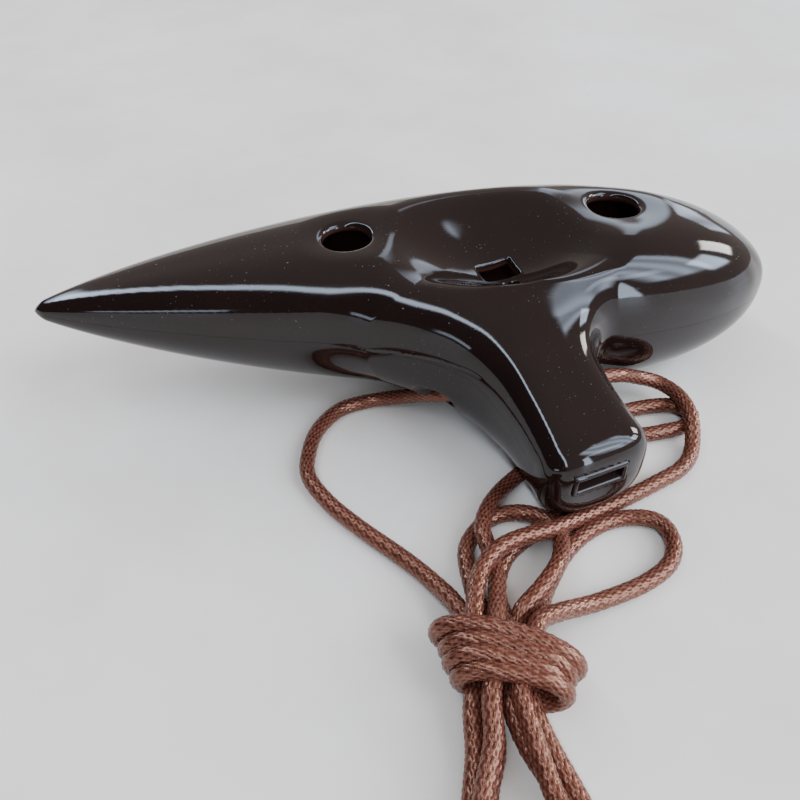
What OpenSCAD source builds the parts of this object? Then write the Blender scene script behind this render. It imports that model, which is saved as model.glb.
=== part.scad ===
// Transverse ocarina lying on its finger side, with its neck cord folded and wrapped.
// +Z is up, +X runs from the pointed tail to the round head, and the mouthpiece points to -Y.
// The origin lies on the small flat under the belly. All sizes are in millimetres.

/* [Body] */
// Distance from the origin to the tail tip
tail_reach = 114; // [100:1:130]
// Distance from the origin to the head end
head_reach = 72; // [60:1:85]
// Position of the widest section along the body
widest_at = 10; // [0:1:20]
// Half of the widest body width
body_half_width = 25.3; // [20:0.1:32]
// Height of the thumb side above the body axis at the widest section
thumb_side_height = 23.2; // [18:0.1:28]
// Depth of the finger side below the body axis before its flat is cut
finger_side_depth = 24.4; // [18:0.1:28]
// Height of the body axis over the widest section
axis_height = 23; // [18:0.1:28]
// Rise of the body axis for each millimetre towards the tail
axis_slope = 0.054; // [0:0.001:0.1]
// How square the cross-section is: 2 is an ellipse
section_squareness = 2.4; // [2:0.1:4]
// How square the thumb side is along the tail and the middle
thumb_side_squareness = 3; // [2:0.1:4]
// Thickness of the moulded wall
wall = 3; // [2:0.1:5]

/* [Neck] */
// Turn of the neck away from square to the body, in degrees
neck_skew = 14; // [0:1:25]
// Half of the mouthpiece width
mouth_half_width = 13.2; // [9:0.1:15]
// Height of the top of the mouthpiece end
mouth_top = 22.6; // [16:0.1:28]
// Height of the underside of the mouthpiece end
mouth_bottom = 3.4; // [1:0.1:10]
// Sideways position of the middle of the mouthpiece end
mouth_x = 7.3; // [0:0.1:15]
// Distance of the mouthpiece end from the body axis
mouth_reach = 62.9; // [50:0.1:75]

/* [Windway] */
// Width of the blowing slot
slot_width = 11.2; // [6:0.1:14]
// Height of the blowing slot
slot_height = 3; // [1.5:0.1:4]
// Wall of the windway tube
slot_wall = 1.1; // [0.8:0.1:3]
// Height of the middle of the blowing slot
slot_z = 14.8; // [8:0.1:20]
// Sideways shift of the blowing slot in the mouthpiece end
slot_shift = -1.2; // [-3:0.1:3]
// Upward slope of the windway, in degrees
windway_rise = 20.4; // [0:0.1:40]
// Length of the separate windway tube
windway_length = 45; // [30:1:55]
// Radius of the bowl over the sound window
bowl_radius = 22; // [15:0.1:30]
// Width of the sound window
window_width = 9; // [5:0.1:12]
// Length of the sound window along the air stream
window_length = 6.4; // [3:0.1:8]

/* [Holes] */
// Radius of the thumb hole on the tail side
tail_thumb_radius = 5.6; // [4:0.1:7]
// Radius of the thumb hole on the head side
head_thumb_radius = 6.3; // [4:0.1:8]
// Radius of the large finger holes
finger_hole_radius = 3.9; // [3:0.1:5]
// Radius of the medium finger holes
medium_hole_radius = 3.3; // [2.5:0.1:4.5]
// Radius of the two small side holes
small_hole_radius = 2.1; // [1.5:0.1:3]
// Radius of the hole for the neck cord
cord_hole_radius = 2.6; // [2.2:0.1:4]

/* [Cord] */
// Diameter of the neck cord
cord_diameter = 3.5; // [2.5:0.1:5]
// Distance from the knot to the far end of the folded bundle
bundle_length = 39; // [30:1:60]
// Half of the width of the folded bundle at its far end
bundle_half_width = 12.7; // [8:0.1:16]

/* [Hidden] */
$fn = 40;

brown = [0.13, 0.09, 0.08];
dark_brown = [0.11, 0.075, 0.065];
copper = [0.55, 0.33, 0.27];

// body outline: share of the full section at each station
tail_power = 1.7;
tail_root = 0.84;
head_power = 2.25;
thumb_side_share = 0.914;
round_from = 15;
round_over = 40;
body_rings = 30;
body_sides = 28;
tip_part = 0.02;
end_share = 0.01;
thinnest = 0.25;
cavity_start = 13;
cavity_end = 3;
cavity_rings = 20;
large = 200;

// neck stations: distance from the mouthpiece end, half width, top and bottom heights
neck_top_squareness = 3.4;
neck_under_squareness = 2.3;
neck_sides = 24;
neck_stations = [
  [0, mouth_half_width - 4, mouth_top - 4.2, mouth_bottom + 3.8],
  [0.7, mouth_half_width - 2.2, mouth_top - 2.2, mouth_bottom + 2],
  [2.2, mouth_half_width - 0.8, mouth_top - 0.7, mouth_bottom + 0.7],
  [5, mouth_half_width, mouth_top + 0.6, mouth_bottom],
  [10, mouth_half_width - 0.3, mouth_top + 2.4, mouth_bottom - 0.2],
  [20, mouth_half_width - 0.3, mouth_top + 5.6, mouth_bottom - 0.7],
  [30, mouth_half_width + 1.4, mouth_top + 9.8, mouth_bottom - 1.8],
  [36, mouth_half_width + 4.2, mouth_top + 12.6, mouth_bottom - 1.2],
  [40, mouth_half_width + 7.4, mouth_top + 14.4, mouth_bottom + 0.8],
  [44, mouth_half_width + 10.8, mouth_top + 15.4, mouth_bottom + 3],
  [52, mouth_half_width + 15, mouth_top + 15.8, mouth_bottom + 6]
];

bowl_centre = [-3.5, -8.2, 55.1];
bowl_wall = 2.6;
boss_start = 34;
boss_end = 54;
boss_width = 18;
boss_height = 10;
bore_end = 53.5;
window_at = [-3.6, -7.6];
frame_proud = 0.3;
tube_overrun = 3.6;
parting_tilt = 3.1;
parting_height = 23.54;
parting_bend = -24;
parting_drop = 0.2625;

tail_thumb_at = [-39.5, 0];
head_thumb_at = [29.5, 5.5];
head_dish_radius = 26;
head_dish_bottom = 41.2;
tail_dish_radius = 26;
tail_dish_bottom = 42;
thumb_bore_start = 30;
finger_bore_start = -1;
finger_bore_end = 20;
window_bottom = 20;
window_depth = 20;

large_finger_holes = [[-62, 0], [-45, -2], [-28, -2], [20, 1], [37, 0]];
medium_finger_holes = [[-79, 2], [4, 5], [53, 3]];
small_finger_holes = [[-54, 9], [12, 14]];

cord_hole_at = [-27, 12];
cord_sides = 8;
cord_steps = 2;
tail_side_route = [
  [2, -27, 12], [-12, -27, 12], [-20, -25.5, 11], [-25, -21, 7.5], [-30, -17, 4],
  [-37, -15, 2], [-45, -17, 2], [-51, -23, 2], [-54, -30, 2], [-55, -38, 2], [-51.4, -46.6, 2],
  [-45.3, -55.2, 2], [-36.9, -65.3, 2], [-32.2, -72.6, 2.8], [-29, -80.4, 4.8],
  [-27.2, -90, 5.3]
];
head_side_route = [
  [2, -27, 12], [15, -27, 12], [24, -26, 11], [31, -24, 7.5], [37, -25, 5.5], [40, -31, 5.5],
  [40, -38, 4.5], [37, -46, 2], [32, -51, 2], [25, -54, 2], [17, -57, 2], [10, -59.4, 2.2],
  [3.1, -62, 3.2], [-5.3, -65.6, 5.4], [-12.8, -67.8, 7.2], [-18.3, -70.5, 8.2],
  [-22.7, -74.6, 8.4], [-25.1, -79, 8.4], [-26.7, -83.8, 8.5], [-28.4, -89, 8.3]
];
mouth_bight_route = [
  [-24, -90, 8.8], [-22.4, -84.8, 8.2], [-21.1, -80.4, 6.8], [-19.8, -75.9, 5.6],
  [-19.3, -68.7, 5], [-19.4, -62.4, 5], [-16.6, -56.6, 4.4], [-12, -50.8, 2.6], [-6, -46, 2],
  [7, -37, 2], [19, -31.5, 2], [31, -29.5, 2], [39, -30, 1.9], [42.5, -33.8, 1.9],
  [39, -37.6, 1.9], [32, -38.6, 1.9], [22, -39.6, 2], [12, -45, 2], [5, -53, 2],
  [-1.3, -59.6, 2], [-9, -64, 2], [-15, -68, 1.9], [-18.6, -73.4, 1.9], [-20.2, -79.6, 3],
  [-20, -90, 5.3]
];
small_bight_route = [
  [-23.6, -90, 5.3], [-24.4, -79.6, 3.2], [-24.4, -73, 2], [-23.4, -65, 2],
  [-18.6, -59.2, 1.9], [-13, -57, 1.9], [-7, -58, 2], [-2.6, -63, 2.6], [-4.1, -70.3, 4.8],
  [-7, -75.3, 6], [-11.9, -80.1, 6.4], [-16.6, -83.6, 5.6], [-20, -87.2, 3.2]
];
side_bight_route = [
  [-17.4, -92, 8.8], [-14.8, -88.2, 8.3], [-9.7, -85.7, 6], [-4.6, -84, 3.8],
  [0.3, -82.6, 2.4], [9.9, -80.2, 1.9], [17, -77, 1.9], [20.6, -73, 1.9], [21.6, -68, 1.9],
  [20, -64.6, 1.9], [16, -63, 1.9], [10, -63, 1.9], [3, -65.6, 1.9], [-3, -70, 1.9],
  [-7, -74.6, 1.9], [-11, -80, 2.4], [-16.4, -90, 5.3]
];
wrap_centre = [-22.6, -95.6, 7];
wrap_length = 11;
wrap_slope = -0.37;
wrap_half_width = 13.6;
wrap_radius = 6.9;
bundle_near = [-25.6, -107, 0.3];
bundle_near_radius = 7.4;
bundle_near_height = 9.8;
knot_end = -102;
bundle_far_x = -26;
bundle_far_z = 0.2;
bundle_far_height = 6.9;

// ---------- shared shapes ----------

function clamp01(v) = min(1, max(0, v));

// the tail tip ends in a small round cap
function tip_cap(u) = u < tip_part ? sqrt(1 - pow(1 - u / tip_part, 2)) : 1;

function tail_share(u) = tip_cap(u) * pow(1 - pow((1 - u) / (1 + tip_part), tail_power), tail_root);

function head_share(v) = sqrt(1 - pow(1 - v, head_power));

function body_share(x) =
  x < widest_at
    ? tail_share(clamp01((x + tail_reach) / (widest_at + tail_reach)))
    : head_share(clamp01((head_reach - x) / (head_reach - widest_at)));

function axis_z(x) = axis_height + axis_slope * (widest_at - x);

function soft_step(t) = t * t * (3 - 2 * t);

// the thumb side is square-shouldered along the tail and turns round over the head
function head_round(x) = soft_step(clamp01((x - round_from) / round_over));

function rounded(c, power) = sign(c) * pow(abs(c), 2 / power);

// stations crowd towards both ends so that the tip and the head stay round
function stations(first, last, count) =
  [for (i = [0 : count]) (first + last) / 2 - (last - first) / 2 * cos(180 * i / count)];

function body_ring(x, skin) =
  let (share = max(end_share, body_share(x)))
  let (height = thumb_side_height * (thumb_side_share + (1 - thumb_side_share) * head_round(x)))
  let (half = max(thinnest, body_half_width * share - skin))
  let (top = max(thinnest, height * share - skin))
  let (bottom = max(thinnest, finger_side_depth * share - skin))
  let (top_power = thumb_side_squareness + (section_squareness - thumb_side_squareness) * head_round(x))
  [for (k = [0 : body_sides - 1])
    let (angle = 360 * k / body_sides)
    let (reach = sin(angle) > 0 ? top : bottom)
    let (power = sin(angle) > 0 ? top_power : section_squareness)
    [x, half * rounded(cos(angle), power), axis_z(x) + reach * rounded(sin(angle), power)]];

// triangles of a closed skin over a stack of rings
function skin_faces(rings, sides) = concat(
  [for (i = [0 : rings - 2], k = [0 : sides - 1])
    [i * sides + k, (i + 1) * sides + k, (i + 1) * sides + (k + 1) % sides]],
  [for (i = [0 : rings - 2], k = [0 : sides - 1])
    [i * sides + k, (i + 1) * sides + (k + 1) % sides, i * sides + (k + 1) % sides]],
  [[for (k = [0 : sides - 1]) k]],
  [[for (k = [0 : sides - 1]) rings * sides - 1 - k]]
);

module skinned(rings) {
  sides = len(rings[0]);
  polyhedron(points = [for (r = rings) for (p = r) p], faces = skin_faces(len(rings), sides), convexity = 6);
}

module body_solid() {
  skinned([for (x = stations(-tail_reach, head_reach, body_rings)) body_ring(x, 0)]);
}

module chamber_solid() {
  first = -tail_reach + cavity_start;
  skinned([for (x = stations(first, head_reach - cavity_end, cavity_rings)) body_ring(x, wall)]);
}

function neck_ring(s) = [for (k = [0 : neck_sides - 1])
  let (angle = 360 * k / neck_sides)
  let (power = sin(angle) > 0 ? neck_top_squareness : neck_under_squareness)
  [s[1] * rounded(cos(angle), power), s[0],
   (s[2] + s[3]) / 2 + (s[2] - s[3]) / 2 * rounded(sin(angle), power)]];

module at_mouth() {
  translate([mouth_x, -mouth_reach, 0])
    rotate([0, 0, neck_skew])
      children();
}

module neck_solid() {
  at_mouth()
    skinned([for (i = [len(neck_stations) - 1 : -1 : 0]) neck_ring(neck_stations[i])]);
}

// local +Y runs up the windway from the blowing slot
module along_windway() {
  at_mouth()
    translate([slot_shift, 0, slot_z])
      rotate([windway_rise, 0, 0])
        children();
}

module windway_box(width, height, first, last) {
  along_windway()
    translate([-width / 2, first, -height / 2])
      cube([width, last - first, height]);
}

// the tube with its raised front frame, before its bore
module windway_outside() {
  windway_box(slot_width + 2 * slot_wall, slot_height + 2 * slot_wall, -tube_overrun, windway_length);
}

module ahead_of_mouth() {
  at_mouth()
    translate([-large / 2, -frame_proud - large, -large / 2])
      cube([large, large, large]);
}

module windway_bore() {
  windway_box(slot_width, slot_height, -2 * tube_overrun, bore_end);
}

module bowl(extra) {
  translate(bowl_centre)
    sphere(r = bowl_radius + extra);
}

module sound_window() {
  translate([window_at[0], window_at[1], window_bottom])
    rotate([0, 0, neck_skew])
      translate([-window_width / 2, -window_length / 2, 0])
        cube([window_width, window_length, window_depth]);
}

module upright_hole(at, radius, first, last) {
  translate([at[0], at[1], first])
    cylinder(r = radius, h = last - first);
}

// everything above the parting surface, which bends down along the neck
module above_parting() {
  rotate([0, parting_tilt, 0])
    translate([-large, 0, 0])
      rotate([90, 0, 90])
        linear_extrude(height = 2 * large)
          polygon([
            [large / 2, parting_height],
            [large / 2, large],
            [-large / 2, large],
            [-large / 2, parting_height + (parting_bend + large / 2) * -parting_drop],
            [parting_bend, parting_height]
          ]);
}

module hollow_body() {
  difference() {
    union() {
      body_solid();
      neck_solid();
    }
    difference() {
      chamber_solid();
      bowl(bowl_wall);
      windway_box(boss_width, boss_height, boss_start, boss_end);
    }
  }
}

// ---------- moulded shells ----------

module thumb_side_shell() {
  color(brown)
    difference() {
      intersection() {
        hollow_body();
        above_parting();
      }
      bowl(0);
      windway_outside();
      windway_bore();
      sound_window();
      upright_hole(tail_thumb_at, tail_thumb_radius, thumb_bore_start, large);
      upright_hole(head_thumb_at, head_thumb_radius, thumb_bore_start, large);
      translate([head_thumb_at[0], head_thumb_at[1], head_dish_bottom + head_dish_radius])
        sphere(r = head_dish_radius);
      translate([tail_thumb_at[0], tail_thumb_at[1], tail_dish_bottom + tail_dish_radius])
        sphere(r = tail_dish_radius);
    }
}

module finger_side_shell() {
  color(brown)
    difference() {
      hollow_body();
      above_parting();
      windway_outside();
      translate([-large, -large, -large])
        cube([2 * large, 2 * large, large]);
      translate([-large / 4, cord_hole_at[0], cord_hole_at[1]])
        rotate([0, 90, 0])
          cylinder(r = cord_hole_radius, h = large / 2);
      for (at = large_finger_holes)
        upright_hole(at, finger_hole_radius, finger_bore_start, finger_bore_end);
      for (at = medium_finger_holes)
        upright_hole(at, medium_hole_radius, finger_bore_start, finger_bore_end);
      for (at = small_finger_holes)
        upright_hole(at, small_hole_radius, finger_bore_start, finger_bore_end);
    }
}

// ---------- windway ----------

module windway_insert() {
  color(dark_brown)
    difference() {
      windway_outside();
      windway_bore();
      ahead_of_mouth();
    }
}

// ---------- neck cord ----------

// smooth curve through the route points
function curve_point(a, b, c, d, t) =
  0.5 * (2 * b + (c - a) * t + (2 * a - 5 * b + 4 * c - d) * t * t + (3 * b - a - 3 * c + d) * t * t * t);

function curve(route) =
  let (n = len(route))
  concat(
    [for (i = [0 : n - 2], j = [0 : cord_steps - 1])
      curve_point(route[max(0, i - 1)], route[i], route[i + 1], route[min(n - 1, i + 2)], j / cord_steps)],
    [route[n - 1]]);

function unit(v) = v / norm(v);

function cord_ring(points, i) =
  let (n = len(points))
  let (ahead = unit(points[min(n - 1, i + 1)] - points[max(0, i - 1)]))
  let (side = unit(cross(ahead, [0, 0, 1])))
  let (up = cross(side, ahead))
  [for (k = [0 : cord_sides - 1])
    let (angle = 360 * (k + 0.5) / cord_sides)
    points[i] + cord_diameter / 2 * (side * cos(angle) + up * sin(angle))];

module cord_tube(route) {
  points = curve(route);
  skinned([for (i = [0 : len(points) - 1]) cord_ring(points, i)]);
}

module cord_tail_side() {
  color(copper) cord_tube(tail_side_route);
}

module cord_head_side() {
  color(copper) cord_tube(head_side_route);
}

module cord_mouth_bight() {
  color(copper) cord_tube(mouth_bight_route);
}

module cord_small_bight() {
  color(copper) cord_tube(small_bight_route);
}

module cord_side_bight() {
  color(copper) cord_tube(side_bight_route);
}

// the wraps lie side by side as one flat sleeve that slopes across the bundle
module cord_wraps() {
  color(copper)
    translate(wrap_centre)
      multmatrix([[1, 0, 0, 0], [wrap_slope, 1, 0, 0], [0, 0, 1, 0], [0, 0, 0, 1]])
        rotate([90, 0, 0])
          linear_extrude(height = wrap_length, center = true)
            hull() {
              translate([wrap_radius - wrap_half_width, 0]) circle(r = wrap_radius);
              translate([wrap_half_width - wrap_radius, 0]) circle(r = wrap_radius);
            }
}

module cord_bundle() {
  color(copper)
    hull() {
      translate(bundle_near) cylinder(r = bundle_near_radius, h = bundle_near_height);
      translate([bundle_far_x, knot_end + bundle_half_width - bundle_length, bundle_far_z])
        cylinder(r = bundle_half_width, h = bundle_far_height);
    }
}

// ---------- nodes ----------

thumb_side_shell();
finger_side_shell();
windway_insert();
cord_tail_side();
cord_head_side();
cord_mouth_bight();
cord_small_bight();
cord_side_bight();
cord_wraps();
cord_bundle();
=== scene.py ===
import math

import bmesh
import bpy
import numpy as np
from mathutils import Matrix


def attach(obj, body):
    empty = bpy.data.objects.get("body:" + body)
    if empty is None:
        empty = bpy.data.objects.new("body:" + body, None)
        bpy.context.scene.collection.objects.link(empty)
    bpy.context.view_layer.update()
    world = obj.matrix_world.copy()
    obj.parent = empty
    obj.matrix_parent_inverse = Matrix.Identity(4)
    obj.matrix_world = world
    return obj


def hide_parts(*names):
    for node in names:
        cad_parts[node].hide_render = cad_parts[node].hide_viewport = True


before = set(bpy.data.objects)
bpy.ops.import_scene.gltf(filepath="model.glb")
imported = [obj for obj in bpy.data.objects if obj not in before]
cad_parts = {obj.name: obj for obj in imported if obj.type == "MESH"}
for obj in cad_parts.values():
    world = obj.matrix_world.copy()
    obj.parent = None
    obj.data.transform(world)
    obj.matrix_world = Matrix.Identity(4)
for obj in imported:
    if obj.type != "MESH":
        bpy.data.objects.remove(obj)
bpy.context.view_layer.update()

import openvdb
from mathutils import Matrix, Vector

MM = 0.001

# ---------------------------------------------------------------- camera

CAMERA_AT = Vector((-55.7, -166.4, 144.3)) * MM
CAMERA_DOWN = 43.0
CAMERA_TURN = 9.95
CAMERA_LENS = 36.36


def add_camera():
    data = bpy.data.cameras.new("camera")
    data.lens = CAMERA_LENS
    data.sensor_width = 36.0
    data.clip_start = 0.01
    data.clip_end = 100.0
    camera = bpy.data.objects.new("camera", data)
    camera.location = CAMERA_AT
    camera.rotation_euler = (math.radians(90 - CAMERA_DOWN), 0, -math.radians(CAMERA_TURN))
    bpy.context.scene.collection.objects.link(camera)
    bpy.context.scene.camera = camera


add_camera()

# ---------------------------------------------------------------- node helpers


class Nodes:
    """A material's node tree, with short calls to add and join nodes."""

    def __init__(self, name):
        self.material = bpy.data.materials.new(name)
        self.material.use_nodes = True
        self.tree = self.material.node_tree
        self.shader = self.tree.nodes["Principled BSDF"]

    def add(self, kind, **settings):
        node = self.tree.nodes.new(kind)
        for key, value in settings.items():
            setattr(node, key, value)
        return node

    def join(self, out, into):
        self.tree.links.new(out, into)

    def put(self, socket, value):
        if isinstance(value, bpy.types.NodeSocket):
            self.join(value, socket)
        else:
            socket.default_value = value

    def math(self, kind, a, b=0.0, c=0.0):
        node = self.add("ShaderNodeMath", operation=kind)
        for socket, value in zip(node.inputs, (a, b, c)):
            self.put(socket, value)
        return node.outputs[0]

    def noise(self, vector, scale, detail=2.0, rough=0.5):
        node = self.add("ShaderNodeTexNoise")
        self.put(node.inputs["Vector"], vector)
        node.inputs["Scale"].default_value = scale
        node.inputs["Detail"].default_value = detail
        node.inputs["Roughness"].default_value = rough
        return node.outputs["Fac"]

    def ramp(self, value, stops):
        node = self.add("ShaderNodeValToRGB")
        self.join(value, node.inputs["Fac"])
        band = node.color_ramp
        while len(band.elements) < len(stops):
            band.elements.new(0.5)
        for element, (place, colour) in zip(band.elements, stops):
            element.position = place
            element.color = (*colour, 1.0) if len(colour) == 3 else colour
        return node.outputs["Color"]

    def span(self, value, low, high, out_low=0.0, out_high=1.0):
        node = self.add("ShaderNodeMapRange")
        for socket, number in zip(node.inputs, (value, low, high, out_low, out_high)):
            self.put(socket, number)
        return node.outputs["Result"]

    def mix(self, factor, a, b):
        node = self.add("ShaderNodeMix", data_type="RGBA")
        self.put(node.inputs["Factor"], factor)
        self.put(node.inputs["A"], a if isinstance(a, bpy.types.NodeSocket) else (*a, 1.0))
        self.put(node.inputs["B"], b if isinstance(b, bpy.types.NodeSocket) else (*b, 1.0))
        return node.outputs["Result"]

    def stretch(self, vector, scale):
        node = self.add("ShaderNodeMapping")
        self.join(vector, node.inputs["Vector"])
        node.inputs["Scale"].default_value = scale
        return node.outputs["Vector"]

    def bump(self, height, strength, distance, normal=None):
        node = self.add("ShaderNodeBump")
        node.inputs["Strength"].default_value = strength
        node.inputs["Distance"].default_value = distance
        self.join(height, node.inputs["Height"])
        if normal is not None:
            self.join(normal, node.inputs["Normal"])
        return node.outputs["Normal"]

    def position(self):
        return self.add("ShaderNodeNewGeometry").outputs["Position"]

    def attribute(self, name):
        return self.add("ShaderNodeAttribute", attribute_name=name).outputs["Fac"]


# ---------------------------------------------------------------- materials


BODY_BROWN, BODY_INSIDE = (0.0085, 0.0042, 0.0034), (0.055, 0.02, 0.014)
WINDWAY_BROWN, WINDWAY_INSIDE = (0.013, 0.007, 0.0058), (0.03, 0.015, 0.012)
DUST = (0.5, 0.48, 0.46)
YARN_DARK, YARN_LIGHT = (0.085, 0.022, 0.013), (0.13, 0.037, 0.023)
# The lit yarn colour is a painted sheen on the fibres, and the valley colour is painted shade between the
# yarns.
YARN_PAINTED_SHEEN, YARN_PAINTED_VALLEY_SHADE = (0.24, 0.085, 0.055), (0.016, 0.005, 0.004)
FLOOR_WARM, FLOOR_PALE = (0.76, 0.68, 0.58), (0.89, 0.82, 0.74)


def gloss_material(name, body_colour, inner_colour):
    """Moulded gloss: deep brown skin, redder bare plastic inside, dust and hairline scratches."""
    n = Nodes(name)
    place = n.position()
    inside = n.attribute("inside")
    cloud = n.noise(place, 45.0, 3.0)
    skin = n.mix(n.span(cloud, 0.3, 0.7), body_colour, tuple(c * 1.35 for c in body_colour))
    specks = n.noise(place, 2400.0, 0.0)
    dust = n.span(specks, 0.81, 0.83)
    shown_dust = n.math("MULTIPLY", dust, n.span(n.noise(place, 60.0, 1.0), 0.42, 0.6))
    skin = n.mix(n.math("MULTIPLY", shown_dust, 0.16), skin, DUST)
    n.join(n.mix(inside, skin, inner_colour), n.shader.inputs["Base Color"])
    film = n.noise(n.stretch(place, (1.0, 1.0, 1.6)), 70.0, 5.0, 0.65)
    smudge = n.span(film, 0.35, 0.75, 0.035, 0.10)
    rough = n.math("ADD", smudge, n.math("MULTIPLY", shown_dust, 0.4))
    n.join(n.math("ADD", rough, n.math("MULTIPLY", inside, 0.3)), n.shader.inputs["Roughness"])
    ripple = n.noise(place, 85.0, 1.0)
    scratch = n.noise(n.stretch(place, (300.0, 2600.0, 2600.0)), 1.0, 1.0)
    wavy = n.bump(ripple, 0.10, 0.0006)
    fine = n.bump(n.span(scratch, 0.66, 0.72), 0.04, 0.00005, wavy)
    n.join(fine, n.shader.inputs["Normal"])
    n.shader.inputs["IOR"].default_value = 1.42
    return n.material


def cord_material(name):
    """Satin braid: copper-brown yarns, with a painted sheen along a fine lengthwise fibre and painted
    shade in the valleys between the yarns.
    """
    n = Nodes(name)
    uv = n.add("ShaderNodeUVMap", uv_map="braid").outputs["UV"]
    height = n.attribute("yarn")
    place = n.position()
    tone = n.noise(place, 55.0, 2.0)
    yarn = n.mix(n.span(tone, 0.3, 0.7), YARN_DARK, YARN_LIGHT)
    fibre = n.noise(n.stretch(uv, (260.0, 1500.0, 1.0)), 1.0, 2.0, 0.6)
    # Lighter streaks along the fibre are a painted sheen.
    yarn_with_painted_sheen = n.mix(n.span(fibre, 0.35, 0.7), yarn, YARN_PAINTED_SHEEN)
    # Low places between the yarns are darkened: painted shade.
    painted_valley_shade_mask = n.span(height, 0.25, 0.8)
    n.join(n.mix(painted_valley_shade_mask, YARN_PAINTED_VALLEY_SHADE, yarn_with_painted_sheen), n.shader.inputs["Base Color"])
    n.join(n.span(fibre, 0.3, 0.7, 0.17, 0.27), n.shader.inputs["Roughness"])
    n.join(n.bump(fibre, 0.35, 0.00008), n.shader.inputs["Normal"])
    n.shader.inputs["Sheen Weight"].default_value = 0.03
    n.shader.inputs["Sheen Roughness"].default_value = 0.4
    n.shader.inputs["Sheen Tint"].default_value = (1.0, 0.54, 0.36, 1.0)
    n.shader.inputs["Specular IOR Level"].default_value = 1.0
    n.shader.inputs["Specular Tint"].default_value = (1.0, 0.52, 0.34, 1.0)
    return n.material


def floor_material():
    """Pale, slightly clouded table with a soft shine."""
    n = Nodes("pale_floor")
    place = n.position()
    cloud = n.noise(place, 14.0, 4.0, 0.6)
    clouded = n.ramp(cloud, [(0.3, FLOOR_WARM), (0.7, FLOOR_PALE)])
    n.join(clouded, n.shader.inputs["Base Color"])
    n.shader.inputs["Roughness"].default_value = 0.38
    n.shader.inputs["Specular IOR Level"].default_value = 0.3
    return n.material


# ---------------------------------------------------------------- mesh helpers


def new_mesh(name, vertices, faces):
    """Mesh from arrays of points and of faces that all have the same number of corners."""
    mesh = bpy.data.meshes.new(name)
    vertices = np.asarray(vertices, dtype=np.float32)
    faces = np.asarray(faces, dtype=np.int32)
    mesh.vertices.add(len(vertices))
    mesh.vertices.foreach_set("co", vertices.ravel())
    mesh.loops.add(faces.size)
    mesh.loops.foreach_set("vertex_index", faces.ravel())
    mesh.polygons.add(len(faces))
    mesh.polygons.foreach_set("loop_start", np.arange(0, faces.size, faces.shape[1], dtype=np.int32))
    mesh.update(calc_edges=True)
    return mesh


def add_object(name, vertices, faces, material, smooth_angle=None):
    mesh = new_mesh(name, vertices, faces)
    mesh.polygons.foreach_set("use_smooth", np.ones(len(faces), dtype=bool))
    mesh.validate()
    if smooth_angle is not None:
        mesh.set_sharp_from_angle(angle=math.radians(smooth_angle))
    mesh.materials.append(material)
    made = bpy.data.objects.new(name, mesh)
    bpy.context.scene.collection.objects.link(made)
    return made


def point_values(mesh, name, values):
    """Stores one number per vertex, for a material to read."""
    layer = mesh.attributes.new(name, "FLOAT", "POINT")
    layer.data.foreach_set("value", np.asarray(values, dtype=np.float32))


# ---------------------------------------------------------------- neck cord

# Lengths are in millimetres from here on, up to the floor.
CORD = 3.5
STRAND_STEP = 0.27
CORD_SIDES = 44
YARNS = 12
YARN_PITCH = 30.0
YARN_RELIEF = 0.34

TAIL_SIDE = [
    (2, -27, 12), (-12, -27, 12), (-20, -25.5, 11), (-25, -21, 7.5), (-30, -17, 4),
    (-37, -15, 2), (-45, -17, 2), (-51, -23, 2), (-54, -30, 2), (-55, -38, 2),
    (-51.4, -46.6, 2), (-45.3, -55.2, 2), (-36.9, -65.3, 2), (-32.2, -72.6, 2.8), (-29, -80.4, 4.8),
    (-27.2, -90, 5.3),
]
HEAD_SIDE = [
    (2, -27, 12), (15, -27, 12), (24, -26, 11), (31, -24, 7.5), (37, -25, 5.5),
    (40, -31, 5.5), (40, -38, 4.5), (37, -46, 2), (32, -51, 2), (25, -54, 2),
    (17, -57, 2), (10, -59.4, 2.2), (3.1, -62, 3.2), (-5.3, -65.6, 5.4), (-12.8, -67.8, 7.2),
    (-18.3, -70.5, 8.2), (-22.7, -74.6, 8.4), (-25.1, -79, 8.4), (-26.7, -83.8, 8.5), (-28.4, -89, 8.3),
]
MOUTH_BIGHT = [
    (-24, -90, 8.8), (-22.4, -84.8, 8.2), (-21.1, -80.4, 6.8), (-19.8, -75.9, 5.6),
    (-19.3, -68.7, 5), (-19.4, -62.4, 5), (-16.6, -56.6, 4.4), (-12, -50.8, 2.6), (-6, -46, 2),
    (7, -37, 2), (19, -31.5, 2), (31, -29.5, 2),
    (39, -30, 1.9), (42.5, -33.8, 1.9), (39, -37.6, 1.9), (32, -38.6, 1.9), (22, -39.6, 2),
    (12, -45, 2), (5, -53, 2), (-1.3, -59.6, 2), (-9, -64, 2), (-15, -68, 1.9), (-18.6, -73.4, 1.9),
    (-20.2, -79.6, 3), (-20, -90, 5.3),
]
SMALL_BIGHT = [
    (-23.6, -90, 5.3), (-24.4, -79.6, 3.2), (-24.4, -73, 2), (-23.4, -65, 2),
    (-18.6, -59.2, 1.9), (-13, -57, 1.9), (-7, -58, 2), (-2.6, -63, 2.6), (-4.1, -70.3, 4.8),
    (-7, -75.3, 6), (-11.9, -80.1, 6.4),
    (-16.6, -83.6, 5.6), (-20, -87.2, 3.2),
]
SIDE_BIGHT = [
    (-17.4, -92, 8.8), (-14.8, -88.2, 8.3), (-9.7, -85.7, 6), (-4.6, -84, 3.8),
    (0.3, -82.6, 2.4), (9.9, -80.2, 1.9), (17, -77, 1.9), (20.6, -73, 1.9), (21.6, -68, 1.9),
    (20, -64.6, 1.9), (16, -63, 1.9), (10, -63, 1.9),
    (3, -65.6, 1.9), (-3, -70, 1.9), (-7, -74.6, 1.9), (-11, -80, 2.4), (-16.4, -90, 5.3),
]
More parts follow.
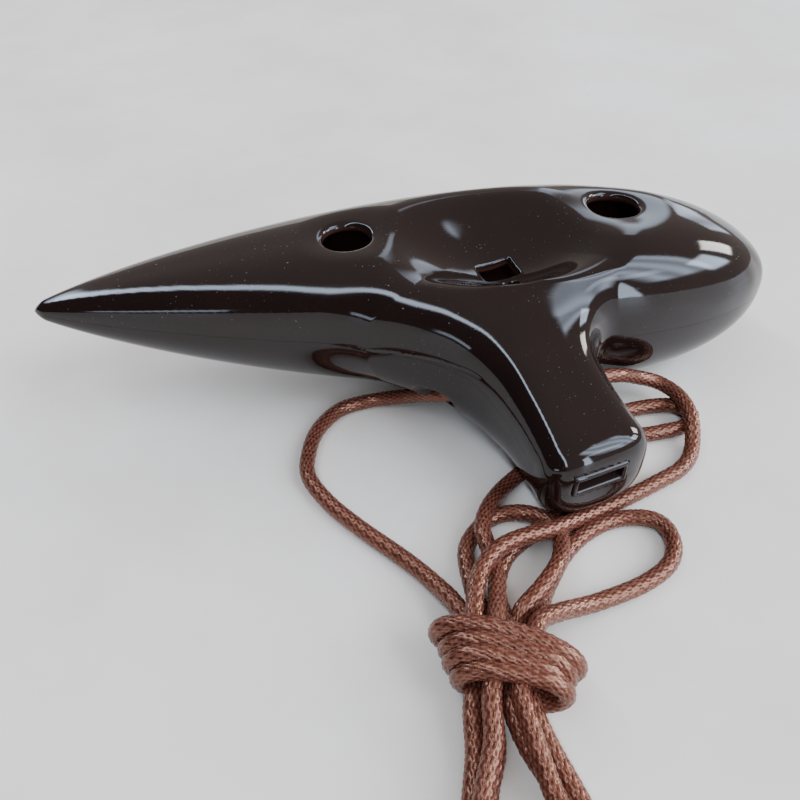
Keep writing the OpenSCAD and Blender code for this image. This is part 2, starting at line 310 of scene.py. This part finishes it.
# The wraps: where each turn meets the left and right side of the bundle, and how high it crosses over.
WRAP_REST = 1.85
WRAP_TURNS = 4
LEFT_OF_WRAPS = [(-34.5, -86.6), (-33.4, -90.2), (-33.2, -92.9), (-32.4, -96.0), (-31.8, -99.6)]
RIGHT_OF_WRAPS = [(-10.7, -98.4), (-12.9, -99.8), (-14.8, -101.0), (-14.2, -102.6), (-15.5, -103.0)]
CREST_OF_WRAPS = [12.6, 12.2, 11.7, 11.0, 10.8]
WRAP_BOW = 0.5
INTO_WRAPS = [(-25, -88.4, 1.9), (-30, -88, 2.2)]
OUT_OF_WRAPS = [(-27.6, -100.4, 2.2), (-30, -97.4, 4.4), (-29.8, -93.4, 7)]
# Heights of the bundle's two layers, inside the wraps and beyond them.
LAYERS_INSIDE, LAYERS_BEYOND = (5.3, 8.8), (1.9, 5.4)


def spline(points, step):
    """Smooth curve through the points, cut into even steps."""
    p = np.asarray(points, dtype=float)
    p = np.vstack([2 * p[0] - p[1], p, 2 * p[-1] - p[-2]])
    t = np.linspace(0, 1, 24, endpoint=False)[:, None]
    runs = []
    for a, b, c, d in zip(p[:-3], p[1:-2], p[2:-1], p[3:]):
        runs.append(0.5 * (2 * b + (c - a) * t + (2 * a - 5 * b + 4 * c - d) * t**2
                           + (3 * b - a - 3 * c + d) * t**3))
    curve = np.vstack(runs + [p[-2:-1]])
    along = np.concatenate([[0], np.cumsum(np.linalg.norm(np.diff(curve, axis=0), axis=1))])
    even = np.linspace(0, along[-1], max(8, int(round(along[-1] / step))))
    return np.stack([np.interp(even, along, curve[:, k]) for k in range(3)], axis=1)


def bundle_strand(near, far, layer, end):
    """Points of one strand from the inside of the wraps to the far end of the bundle."""
    inside, outside = LAYERS_INSIDE[layer], LAYERS_BEYOND[layer]
    out = near - 3.0
    return [(near - 1, -96, inside), (out, -102, inside - 0.2),
            (0.8 * out + 0.2 * far, -109, 0.5 * (inside + outside)),
            (0.3 * out + 0.7 * far, 0.5 * (end - 109), outside), (far, end, outside)]


def far_turn(first, last):
    """Half circle that joins the far ends of two strands."""
    a, b = np.array(first[-1], float), np.array(last[-1], float)
    middle, arm = (a + b) / 2, (a - b) / 2
    reach = np.array((0, -abs(arm[0]), 0))
    turn = np.radians((30, 60, 90, 120, 150))
    return [tuple(middle + arm * math.cos(t) + reach * math.sin(t)) for t in turn]


def wraps_route():
    """Flat turns round the bundle, each from its left end over the crest to its right end."""
    turns = np.linspace(-0.08, WRAP_TURNS - 0.28, 26 * WRAP_TURNS)
    whole = np.arange(WRAP_TURNS + 1)
    left = [np.interp(turns, whole, [p[k] for p in LEFT_OF_WRAPS]) for k in (0, 1)]
    right = [np.interp(turns - 0.5, whole, [p[k] for p in RIGHT_OF_WRAPS]) for k in (0, 1)]
    crest = np.interp(turns - 0.25, whole, CREST_OF_WRAPS)
    angle = 2 * np.pi * turns
    c, s = np.cos(angle), np.sin(angle)
    across = 0.5 - 0.5 * np.sign(c) * np.abs(c) ** 0.85
    x = left[0] + (right[0] - left[0]) * across
    y = left[1] + (right[1] - left[1]) * across * (1 - WRAP_BOW + WRAP_BOW * across)
    z = (crest + WRAP_REST) / 2 + (crest - WRAP_REST) / 2 * np.sign(s) * np.abs(s) ** 0.9
    return list(zip(x, y, z))


def cord_route():
    """The closed cord, from the strap hole round all its loops and back to the strap hole."""
    tail, side_back = bundle_strand(-28.2, -37, 0, -128), bundle_strand(-17.4, -15, 0, -128)
    side, mouth = bundle_strand(-19.6, -21, 1, -124), bundle_strand(-25.0, -35, 1, -124)
    mouth_back, small = bundle_strand(-21.0, -19, 0, -121), bundle_strand(-24.6, -33, 0, -121)
    return (TAIL_SIDE + tail + far_turn(tail, side_back) + side_back[::-1] + SIDE_BIGHT[::-1] + side
            + far_turn(side, mouth) + mouth[::-1] + MOUTH_BIGHT + mouth_back
            + far_turn(mouth_back, small) + small[::-1] + SMALL_BIGHT + INTO_WRAPS
            + wraps_route() + OUT_OF_WRAPS + HEAD_SIDE[::-1])


def braided_tube(name, points, material):
    """Tube along the points whose skin has yarns crossing over and under each other."""
    p = np.asarray(points)
    ahead = np.gradient(p, axis=0)
    ahead /= np.linalg.norm(ahead, axis=1, keepdims=True)
    side = np.empty_like(p)
    side[0] = np.cross(ahead[0], (0, 0, 1.0))
    side[0] /= np.linalg.norm(side[0])
    for i in range(1, len(p)):
        turned = side[i - 1] - ahead[i] * (side[i - 1] @ ahead[i])
        side[i] = turned / np.linalg.norm(turned)
    up = np.cross(side, ahead)
    along = np.concatenate([[0], np.cumsum(np.linalg.norm(np.diff(p, axis=0), axis=1))])
    turn = np.arange(CORD_SIDES) / CORD_SIDES
    u, s = np.meshgrid(turn, along)
    right = YARNS * (u + s / YARN_PITCH)
    left = YARNS * (u - s / YARN_PITCH)
    crown_right = 1 - (2 * (right % 1) - 1) ** 2
    crown_left = 1 - (2 * (left % 1) - 1) ** 2
    over = np.sin(np.pi * right) * np.sin(np.pi * left)
    yarn = np.maximum(crown_right * (0.62 + 0.38 * over), crown_left * (0.62 - 0.38 * over))
    radius = CORD / 2 - 0.5 * YARN_RELIEF + YARN_RELIEF * yarn
    ring = (side[:, None, :] * np.cos(2 * np.pi * u)[..., None]
            + up[:, None, :] * np.sin(2 * np.pi * u)[..., None])
    skin = p[:, None, :] + ring * radius[..., None]
    rows, sides = len(p), CORD_SIDES
    a = (np.arange(rows - 1)[:, None] * sides + np.arange(sides)).ravel()
    b = (np.arange(rows - 1)[:, None] * sides + (np.arange(sides) + 1) % sides).ravel()
    faces = np.stack([a, b, b + sides, a + sides], axis=1)
    vertices = np.vstack([skin.reshape(-1, 3), p[:1], p[-1:]])
    made = add_object(name, vertices * MM, faces[:, ::-1], material)
    mesh = made.data
    close_ends(mesh, rows, sides)
    point_values(mesh, "yarn", np.concatenate([yarn.ravel(), [0.5, 0.5]]))
    paint_braid_uv(mesh, rows, sides, along)
    return made


def close_ends(mesh, rows, sides):
    """Fan of triangles over each end of the tube."""
    bm = bmesh.new()
    bm.from_mesh(mesh)
    bm.verts.ensure_lookup_table()
    ends = ((0, rows * sides, False), ((rows - 1) * sides, rows * sides + 1, True))
    for first, centre, flip in ends:
        for k in range(sides):
            corners = [bm.verts[first + k], bm.verts[first + (k + 1) % sides], bm.verts[centre]]
            face = bm.faces.new(corners[::-1] if flip else corners)
            face.smooth = True
    bmesh.ops.recalc_face_normals(bm, faces=bm.faces)
    bm.to_mesh(mesh)
    bm.free()


def paint_braid_uv(mesh, rows, sides, along):
    """Texture coordinates in metres: round the cord, and along it."""
    layer = mesh.uv_layers.new(name="braid")
    loops = np.empty(len(mesh.loops), dtype=np.int32)
    mesh.loops.foreach_get("vertex_index", loops)
    row = np.minimum(loops // sides, rows - 1)
    turn = (loops % sides) / sides
    counts = np.empty(len(mesh.polygons), dtype=np.int32)
    starts = np.empty(len(mesh.polygons), dtype=np.int32)
    mesh.polygons.foreach_get("loop_total", counts)
    mesh.polygons.foreach_get("loop_start", starts)
    for start in starts[counts == 4]:
        quad = turn[start:start + 4]
        if quad.max() - quad.min() > 0.5:
            turn[start:start + 4] = np.where(quad < 0.5, quad + 1, quad)
    uv = np.stack([turn * math.pi * CORD * MM, along[row] * MM], axis=1)
    layer.data.foreach_set("uv", uv.astype(np.float32).ravel())


CORD_NODES = ["cord_tail_side", "cord_head_side", "cord_mouth_bight", "cord_small_bight",
              "cord_side_bight", "cord_wraps", "cord_bundle"]


def build_cord():
    route = spline(cord_route(), STRAND_STEP)
    cord = braided_tube("neck_cord", route, cord_material("copper_braid"))
    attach(cord, "root")
    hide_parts(*CORD_NODES)


build_cord()

# ---------------------------------------------------------------- body shape

TAIL, HEAD, WIDEST = -114.0, 72.0, 10.0
HALF_WIDTH, THUMB_HEIGHT, FINGER_DEPTH = 25.3, 23.2, 24.4
AXIS_HEIGHT, AXIS_SLOPE = 23.0, 0.054
SQUARENESS, TOP_SQUARENESS, TOP_SHARE = 2.4, 3.0, 0.914
NECK_TOP_SQUARENESS, NECK_UNDER_SQUARENESS = 3.4, 2.7
WALL = 3.0
MOUTH = np.array((7.3, -63.1, 0.0))
NECK_SKEW = math.radians(14.0)
MOUTH_TRIM = 1.6
BLEND = 9.0
# The neck's sections: distance from the mouthpiece end, half width, top, underside.
NECK_TABLE = np.array([
    (0, 10.2, 21.8, 4.4), (2.5, 12.2, 22.9, 3.5), (6, 13.1, 23.8, 3.0), (10, 12.9, 25.0, 3.1),
    (20, 12.8, 28.2, 2.9), (30, 14.2, 32.0, 2.0), (36, 16.6, 34.0, 3.0), (42, 21.0, 35.6, 6.0),
    (50, 28.0, 37.0, 10.0),
])
NECK_LENGTH = NECK_TABLE[-1, 0]
MOUTH_ROUNDING, NECK_ROOT_ROUNDING = 5.0, 6.0
SLOT_Z, SLOT_SHIFT, WINDWAY_RISE = 14.8, -1.2, math.radians(20.4)
SLOT_SIZE, TUBE_SIZE = (11.2, 3.0), (13.4, 5.2)
BOWL, BOWL_RADIUS, BOWL_NARROWING = (-3.5, -8.4, 57.4), 24.5, (0.88, 1.22)
BOWL_RIM_SHARP, BOWL_RIM_SOFTER = 1.2, 8.0
WINDOW, WINDOW_SIZE = (-3.6, -7.6), (9.0, 6.4)
# A shallow dish round each thumb hole: centre and radius of the ball that cuts it, softness of its rim.
THUMB_DISHES = [((29.5, 5.5, 67.2), 26.0, 5.0), ((-39.5, 0.5, 68.0), 26.0, 3.0)]
REST_EDGE = 0.6
SKIN_UNDER_DISHES = 2.4
TAIL_SOLID = 13.0
# Boxes in the windway's own axes: distance along it of the middle, and half sizes.
BOSS_AT, BOSS_HALF = 44.0, (9.0, 10.0, 5.0)
TUBE_SEAT_AT, TUBE_SEAT_REACH = 20.0, 25.0
DUCT_AT, DUCT_REACH = 24.0, 29.5
WINDOW_EDGE, CORD_HOLE_EDGE, THUMB_HOLE_EDGE, FINGER_HOLE_EDGE = 0.9, 0.8, 1.8, 1.0
CORD_HOLE, CORD_HOLE_RADIUS = (-27.0, 12.0), 2.6
# Holes as x, y, radius.
THUMB_HOLES = [(-39.5, 0.0, 5.6), (29.5, 5.5, 6.3)]
FINGER_HOLES = [
    (-62, 0, 3.9), (-45, -2, 3.9), (-28, -2, 3.9), (20, 1, 3.9), (37, 0, 3.9),
    (-79, 2, 3.3), (4, 5, 3.3), (53, 3, 3.3), (-54, 9, 2.1), (12, 14, 2.1),
]
GRID_STEP = 0.5
FRAME_PROUD = 0.35


def smooth_low(a, b, width):
    """The lower of two fields, with a fillet about as wide as width where they cross."""
    share = np.clip(0.5 + 0.5 * (b - a) / width, 0, 1)
    return b * (1 - share) + a * share - width * share * (1 - share)


def smooth_high(a, b, width):
    return -smooth_low(-a, -b, width)


def body_share(x):
    """Size of the body's section at x, as a share of its widest."""
    u = np.clip((x - TAIL) / (WIDEST - TAIL), 0, 1)
    v = np.clip((HEAD - x) / (HEAD - WIDEST), 0, 1)
    cap = np.sqrt(1 - np.clip(1 - u / 0.02, 0, 1) ** 2)
    tail = cap * (1 - np.clip((1 - u) / 1.02, 0, 1) ** 1.7) ** 0.84
    return np.where(x < WIDEST, tail, np.sqrt(1 - (1 - v) ** 2.25))


def body_field(x, y, z, skin=0.0):
    """Distance-like field of the body without its neck, below zero inside it, drawn in by skin."""
    inner = np.clip(x, TAIL + 0.25, HEAD - 0.02)
    share = body_share(inner)
    rise = z - (AXIS_HEIGHT + AXIS_SLOPE * (WIDEST - x))
    round_head = np.clip((x - 15) / 40, 0, 1)
    round_head = round_head * round_head * (3 - 2 * round_head)
    top = THUMB_HEIGHT * (TOP_SHARE + (1 - TOP_SHARE) * round_head)
    half = np.maximum(HALF_WIDTH * share - skin, 0.2)
    tall = np.maximum(np.where(rise > 0, top, FINGER_DEPTH) * share - skin, 0.2)
    power = np.where(rise > 0, TOP_SQUARENESS + (SQUARENESS - TOP_SQUARENESS) * round_head, SQUARENESS)
    ratio = ((np.abs(y) / half) ** power + (np.abs(rise) / tall) ** power + 1e-12) ** (1 / power)
    gap = 0.8 * (ratio - 1) * np.minimum(half, tall)
    outside = np.sqrt(np.maximum(gap, 0) ** 2 + (x - inner) ** 2)
    return outside + np.where(x > inner, 0, np.minimum(gap, 0))


def neck_axes(x, y):
    """Distance from the mouthpiece end along the neck, and sideways."""
    dx, dy = x - MOUTH[0], y - MOUTH[1]
    c, s = math.cos(NECK_SKEW), math.sin(NECK_SKEW)
    return -dx * s + dy * c, dx * c + dy * s


def table_curve(t, column):
    """Smooth curve through one column of the neck table."""
    places, values = NECK_TABLE[:, 0], NECK_TABLE[:, column]
    slopes = np.gradient(values, places)
    t = np.clip(t, places[0], places[-1])
    i = np.clip(np.searchsorted(places, t) - 1, 0, len(places) - 2)
    width = places[i + 1] - places[i]
    q = (t - places[i]) / width
    return ((1 + 2 * q) * (1 - q) ** 2 * values[i] + q * (1 - q) ** 2 * width * slopes[i]
            + q * q * (3 - 2 * q) * values[i + 1] + q * q * (q - 1) * width * slopes[i + 1])


def neck_field(x, y, z):
    along, across = neck_axes(x, y)
    half, top, bottom = (table_curve(along, k) for k in (1, 2, 3))
    middle, tall = (top + bottom) / 2, (top - bottom) / 2
    power = np.where(z > middle, NECK_TOP_SQUARENESS, NECK_UNDER_SQUARENESS)
    total = (np.abs(across) / half) ** power + (np.abs(z - middle) / tall) ** power + 1e-12
    gap = (total ** (1 / power) - 1) * np.minimum(half, tall)
    gap = smooth_high(gap, MOUTH_TRIM - along, MOUTH_ROUNDING)
    return smooth_high(gap, along - NECK_LENGTH, NECK_ROOT_ROUNDING)


def box_field(a, b, c, half, corner):
    """Box with rounded corners, round the origin of a, b and c."""
    qa, qb, qc = (np.abs(v) - size + corner for v, size in zip((a, b, c), half))
    outside = np.sqrt(np.maximum(qa, 0) ** 2 + np.maximum(qb, 0) ** 2 + np.maximum(qc, 0) ** 2)
    return outside + np.minimum(np.maximum(np.maximum(qa, qb), qc), 0) - corner


def windway_axes(x, y, z):
    """Across the windway, along it from the slot, and up from its middle."""
    along, across = neck_axes(x, y)
    rise = z - SLOT_Z
    c, s = math.cos(WINDWAY_RISE), math.sin(WINDWAY_RISE)
    return across - SLOT_SHIFT, along * c + rise * s, rise * c - along * s


def ball(x, y, z, centre, radius):
    return np.sqrt((x - centre[0]) ** 2 + (y - centre[1]) ** 2 + (z - centre[2]) ** 2) - radius


def bowl_field(x, y, z):
    """Ball that cuts the bowl, drawn out along the body and narrowed across it."""
    x = BOWL[0] + (x - BOWL[0]) * BOWL_NARROWING[0]
    y = BOWL[1] + (y - BOWL[1]) * BOWL_NARROWING[1]
    return ball(x, y, z, BOWL, BOWL_RADIUS)


def moulded_skin(x, y, z):
    return smooth_low(body_field(x, y, z), neck_field(x, y, z), BLEND)


def outer_field(x, y, z):
    """Outside of the whole moulding: the bowl's rim is crisp by the neck and softer away from it."""
    skin = moulded_skin(x, y, z)
    away = np.clip((y + 17 + 1.1 * np.abs(x + 2)) / 25, 0, 1)
    skin = smooth_high(skin, -bowl_field(x, y, z), BOWL_RIM_SHARP + BOWL_RIM_SOFTER * away)
    for centre, radius, soft in THUMB_DISHES:
        skin = smooth_high(skin, -ball(x, y, z, centre, radius), soft)
    return smooth_high(skin, -z, REST_EDGE)


def hollow_field(x, y, z, outer):
    """The chamber, less the boss that holds the windway's inner end."""
    across, along, rise = windway_axes(x, y, z)
    room = np.maximum(body_field(x, y, z, WALL), outer + SKIN_UNDER_DISHES)
    boss = box_field(across, along - BOSS_AT, rise, BOSS_HALF, 1.0)
    return smooth_high(np.maximum(room, TAIL + TAIL_SOLID - x), -boss, 1.5)


def shell_field(x, y, z):
    """Both mouldings together, with every hole through them."""
    across, along, rise = windway_axes(x, y, z)
    outer = outer_field(x, y, z)
    skin = np.maximum(outer, -hollow_field(x, y, z, outer))
    seat_half = (TUBE_SIZE[0] / 2, TUBE_SEAT_REACH, TUBE_SIZE[1] / 2)
    skin = np.maximum(skin, -box_field(across, along - TUBE_SEAT_AT, rise, seat_half, 0.5))
    duct_half = (SLOT_SIZE[0] / 2, DUCT_REACH, SLOT_SIZE[1] / 2)
    skin = np.maximum(skin, -box_field(across, along - DUCT_AT, rise, duct_half, 0.3))
    near, over = neck_axes(x, y)
    here, side = neck_axes(np.array(WINDOW[0]), np.array(WINDOW[1]))
    window_half = (WINDOW_SIZE[0] / 2, WINDOW_SIZE[1] / 2, 10.0)
    window = box_field(over - side, near - here, z - 30, window_half, 0.4)
    skin = smooth_high(skin, -window, WINDOW_EDGE)
    cord_hole = np.hypot(y - CORD_HOLE[0], z - CORD_HOLE[1]) - CORD_HOLE_RADIUS
    skin = smooth_high(skin, -cord_hole, CORD_HOLE_EDGE)
    for hx, hy, radius in THUMB_HOLES:
        bore = np.maximum(np.hypot(x - hx, y - hy) - radius, 25 - z)
        skin = smooth_high(skin, -bore, THUMB_HOLE_EDGE)
    for hx, hy, radius in FINGER_HOLES:
        bore = np.maximum(np.hypot(x - hx, y - hy) - radius, z - 20)
        skin = smooth_high(skin, -bore, FINGER_HOLE_EDGE)
    return skin


def slope_of(field, p, width=0.05):
    """The field's gradient at each point."""
    columns = []
    for k in range(3):
        step = np.zeros(3)
        step[k] = width
        columns.append((field(*(p + step).T) - field(*(p - step).T)) / (2 * width))
    return np.stack(columns, axis=1)


def mesh_of_field(field, low, high, step):
    """Quads on the field's zero surface within a box, drawn onto it by a few Newton steps."""
    axes = [np.arange(a, b + step, step) for a, b in zip(low, high)]
    values = np.empty([len(a) for a in axes], dtype=np.float32)
    y, z = np.meshgrid(axes[1], axes[2], indexing="ij")
    for i in range(0, len(axes[0]), 32):
        x = axes[0][i:i + 32, None, None]
        values[i:i + 32] = field(x, y[None], z[None])
    grid = openvdb.FloatGrid(background=3 * step)
    grid.copyFromArray(np.clip(values, -3 * step, 3 * step), tolerance=0.0)
    grid.gridClass = openvdb.GridClass.LEVEL_SET
    points, quads = grid.convertToQuads(isovalue=0.0)
    p = points.astype(float) * step + np.array([a[0] for a in axes])
    for _ in range(3):
        gradient = slope_of(field, p)
        square = np.maximum((gradient**2).sum(1), 0.05)
        move = -(field(*p.T) / square)[:, None] * gradient
        length = np.linalg.norm(move, axis=1, keepdims=True)
        p += move * np.minimum(1, 0.3 * step / np.maximum(length, 1e-9))
    return p, quads


# The mouldings part on a plane that follows the body's axis, and on one that drops towards the mouth.
PARTING_TILT = math.radians(3.1)
PARTING_HEIGHT, PARTING_BEND, PARTING_DROP = 23.54, -24.0, 0.2625
SEAM = 0.05
INSIDE_FROM, INSIDE_FADE = 0.6, 0.8


def parting_planes():
    c, s = math.cos(PARTING_TILT), math.sin(PARTING_TILT)
    flat_point = Vector((s * PARTING_HEIGHT, PARTING_BEND, c * PARTING_HEIGHT))
    flat = Vector((s, 0, c))
    down = Vector((s, -PARTING_DROP, c)).normalized()
    return flat_point, flat, down


def half_shell(name, p, quads, upper, material):
    """Cuts the moulded skin along the parting planes and keeps one side."""
    point, flat, down = parting_planes()
    shift = SEAM / 2 if upper else -SEAM / 2
    bm = bmesh.new()
    whole = new_mesh("whole", p, quads)
    bm.from_mesh(whole)
    bpy.data.meshes.remove(whole)
    for normal in (flat, down):
        bmesh.ops.bisect_plane(bm, geom=bm.verts[:] + bm.edges[:] + bm.faces[:], dist=1e-5,
                               plane_co=point + normal * shift, plane_no=normal)
    drop = []
    for face in bm.faces:
        centre = face.calc_center_median()
        above = max((centre - point).dot(flat), (centre - point).dot(down)) - shift > 0
        if above != upper:
            drop.append(face)
    bmesh.ops.delete(bm, geom=drop, context="FACES")
    for normal in (flat, down):
        rim = [e for e in bm.edges if e.is_boundary
               and all(abs((v.co - point).dot(normal) - shift) < 2e-3 for v in e.verts)]
        if rim:
            bmesh.ops.triangle_fill(bm, use_beauty=True, use_dissolve=False, edges=rim)
    bmesh.ops.recalc_face_normals(bm, faces=bm.faces)
    mesh = bpy.data.meshes.new(name)
    bmesh.ops.scale(bm, vec=Vector((MM, MM, MM)), verts=bm.verts)
    for face in bm.faces:
        face.smooth = True
    bm.to_mesh(mesh)
    bm.free()
    mesh.set_sharp_from_angle(angle=math.radians(38))
    mesh.materials.append(material)
    made = bpy.data.objects.new(name, mesh)
    bpy.context.scene.collection.objects.link(made)
    co = np.empty(len(mesh.vertices) * 3, dtype=np.float32)
    mesh.vertices.foreach_get("co", co)
    q = co.reshape(-1, 3).astype(float) / MM
    depth = -outer_field(*q.T)
    point_values(mesh, "inside", np.clip((depth - INSIDE_FROM) / INSIDE_FADE, 0, 1))
    return made


def build_shells():
    step = GRID_STEP
    p, quads = mesh_of_field(shell_field, (TAIL - 2, -65, -1.5), (HEAD + 2, 28, 48), step)
    gloss = gloss_material("brown_gloss", BODY_BROWN, BODY_INSIDE)
    for name, upper in (("thumb_side_shell", True), ("finger_side_shell", False)):
        made = half_shell(name + "_moulding", p, quads, upper, gloss)
        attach(made, "root")
        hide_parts(name)


build_shells()

# ---------------------------------------------------------------- windway insert

TUBE_AT, TUBE_REACH, TUBE_PLAY = 20.9, 24.0, 0.02


def build_insert():
    """Rectangular tube with a raised, bevelled frame round the blowing slot."""
    def tube_field(x, y, z):
        across, along, rise = windway_axes(x, y, z)
        tube_half = (TUBE_SIZE[0] / 2 - TUBE_PLAY, TUBE_REACH, TUBE_SIZE[1] / 2 - TUBE_PLAY)
        tube = box_field(across, along - TUBE_AT, rise, tube_half, 0.5)
        tube = smooth_high(tube, moulded_skin(x, y, z) - FRAME_PROUD, 0.5)
        bore_half = (SLOT_SIZE[0] / 2, 40.0, SLOT_SIZE[1] / 2)
        bore = box_field(across, along - TUBE_SEAT_AT, rise, bore_half, 0.35)
        return smooth_high(tube, -bore, 0.45)

    step = 0.2
    p, quads = mesh_of_field(tube_field, (-8, -66, 9), (18, -17, 37), step)
    gloss = gloss_material("windway_gloss", WINDWAY_BROWN, WINDWAY_INSIDE)
    made = add_object("windway_insert_tube", p * MM, quads, gloss, smooth_angle=50)
    point_values(made.data, "inside", np.zeros(len(p)))
    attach(made, "root")
    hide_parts("windway_insert")


build_insert()

# ---------------------------------------------------------------- floor and light


FLOOR_SIZE = 30.0  # metres


def build_floor():
    bpy.ops.mesh.primitive_plane_add(size=FLOOR_SIZE, location=(0, 0, 0))
    floor = bpy.context.object
    floor.name = "floor"
    floor.data.materials.append(floor_material())


# The room's windows: azimuth and elevation in degrees, half width, half height and soft edge as tangents,
# strength, colour. Only their reflections are seen.
DAYLIGHT = (0.68, 0.81, 1.0)
WINDOWS = [
    (-28, 39, 0.28, 0.36, 0.10, 10.0, DAYLIGHT),
    (14, 24, 0.10, 0.13, 0.04, 20.0, (1.0, 0.98, 0.95)),
    (-8, 23, 0.13, 0.13, 0.06, 16.0, DAYLIGHT),
    (-55, 12, 0.06, 0.32, 0.03, 15.0, DAYLIGHT),
    (-42, 33, 0.18, 0.05, 0.05, 5.0, DAYLIGHT),
    (47, 11, 0.18, 0.10, 0.05, 4.5, DAYLIGHT),
    (-128, 7, 0.18, 0.05, 0.03, 6.0, DAYLIGHT),
    (63, 28, 0.09, 0.25, 0.10, 3.6, DAYLIGHT),
    (97, 6, 0.25, 0.08, 0.05, 1.0, (1.0, 0.99, 0.95)),
]
# The skylight is a strip of directions at a set angle to this axis.
SKYLIGHT_AXIS = Vector((-0.963, -0.24, -0.123))
SKYLIGHT_PLACE, SKYLIGHT_HALF, SKYLIGHT_SOFT, SKYLIGHT_STRENGTH = 0.247, 0.042, 0.055, 17.0
CEILING, DARK_SIDE = (0.56, 0.49, 0.455), (0.05, 0.05, 0.055)
BACKDROP = (0.64, 0.62, 0.60)
ROOM_STRENGTH = 1.0
# Windows with blinds, by their place in the list.
BLIND_STRIPES = 30.0
STRIPED = (0, 5)


class RoomNodes(Nodes):
    """Node tree of the room's light, by direction."""

    def __init__(self, name):
        self.world = bpy.data.worlds.new(name)
        self.world.use_nodes = True
        self.tree = self.world.node_tree
        self.direction = self.add("ShaderNodeTexCoord").outputs["Generated"]

    def dot(self, axis):
        """How far the direction points along an axis."""
        node = self.add("ShaderNodeVectorMath", operation="DOT_PRODUCT")
        self.join(self.direction, node.inputs[0])
        node.inputs[1].default_value = axis
        return node.outputs["Value"]

    def step(self, value, low, high):
        node = self.add("ShaderNodeMapRange", interpolation_type="SMOOTHSTEP")
        self.join(value, node.inputs["Value"])
        node.inputs["From Min"].default_value = low
        node.inputs["From Max"].default_value = high
        return node.outputs["Result"]

    def band(self, value, half, soft):
        """One within half of zero, fading to nothing over a soft edge."""
        away = self.math("ABSOLUTE", value)
        return self.math("SUBTRACT", 1.0, self.step(away, half - soft / 2, half + soft / 2))

    def window(self, azimuth, elevation, half_width, half_height, soft):
        """A rectangular pane in one direction, and the sideways place within it."""
        turn, lift = math.radians(azimuth), math.radians(elevation)
        facing = Vector((math.cos(turn) * math.cos(lift), math.sin(turn) * math.cos(lift), math.sin(lift)))
        across = Vector((-math.sin(turn), math.cos(turn), 0.0))
        ahead = self.dot(facing)
        near = self.math("MAXIMUM", ahead, 0.05)
        side = self.math("DIVIDE", self.dot(across), near)
        rise = self.math("DIVIDE", self.dot(facing.cross(across)), near)
        pane = self.math("MULTIPLY", self.band(side, half_width, soft), self.band(rise, half_height, soft))
        return self.math("MULTIPLY", pane, self.step(ahead, 0.05, 0.2)), side

    def tinted(self, value, colour, total):
        """The total so far, plus light of one colour."""
        node = self.add("ShaderNodeMix", data_type="RGBA", blend_type="ADD")
        node.inputs["Factor"].default_value = 1.0
        node.clamp_result = False
        scale = self.add("ShaderNodeVectorMath", operation="SCALE")
        scale.inputs[0].default_value = colour
        self.join(value, scale.inputs["Scale"])
        self.put(node.inputs["A"], total)
        self.join(scale.outputs["Vector"], node.inputs["B"])
        return node.outputs["Result"]


def build_room():
    room = RoomNodes("room")
    from_strip = room.math("SUBTRACT", room.dot(SKYLIGHT_AXIS), SKYLIGHT_PLACE)
    light = room.mix(room.step(from_strip, -0.03, 0.04), CEILING, DARK_SIDE)
    strip = room.band(from_strip, SKYLIGHT_HALF, SKYLIGHT_SOFT)
    strip = room.math("MULTIPLY", strip, room.step(room.dot(Vector((0, 0, 1))), 0.25, 0.45))
    light = room.tinted(room.math("MULTIPLY", strip, SKYLIGHT_STRENGTH), DAYLIGHT, light)
    for index, (*shape, strength, colour) in enumerate(WINDOWS):
        pane, side = room.window(*shape)
        if index in STRIPED:
            wave = room.math("SINE", room.math("MULTIPLY", side, BLIND_STRIPES))
            pane = room.math("MULTIPLY", pane, room.span(wave, -1.0, 1.0, 0.55, 1.15))
        light = room.tinted(room.math("MULTIPLY", pane, strength), colour, light)
    seen = room.add("ShaderNodeLightPath").outputs["Is Camera Ray"]
    background = room.tree.nodes["Background"]
    room.join(room.mix(seen, light, BACKDROP), background.inputs["Color"])
    background.inputs["Strength"].default_value = ROOM_STRENGTH
    bpy.context.scene.world = room.world


build_floor()
build_room()
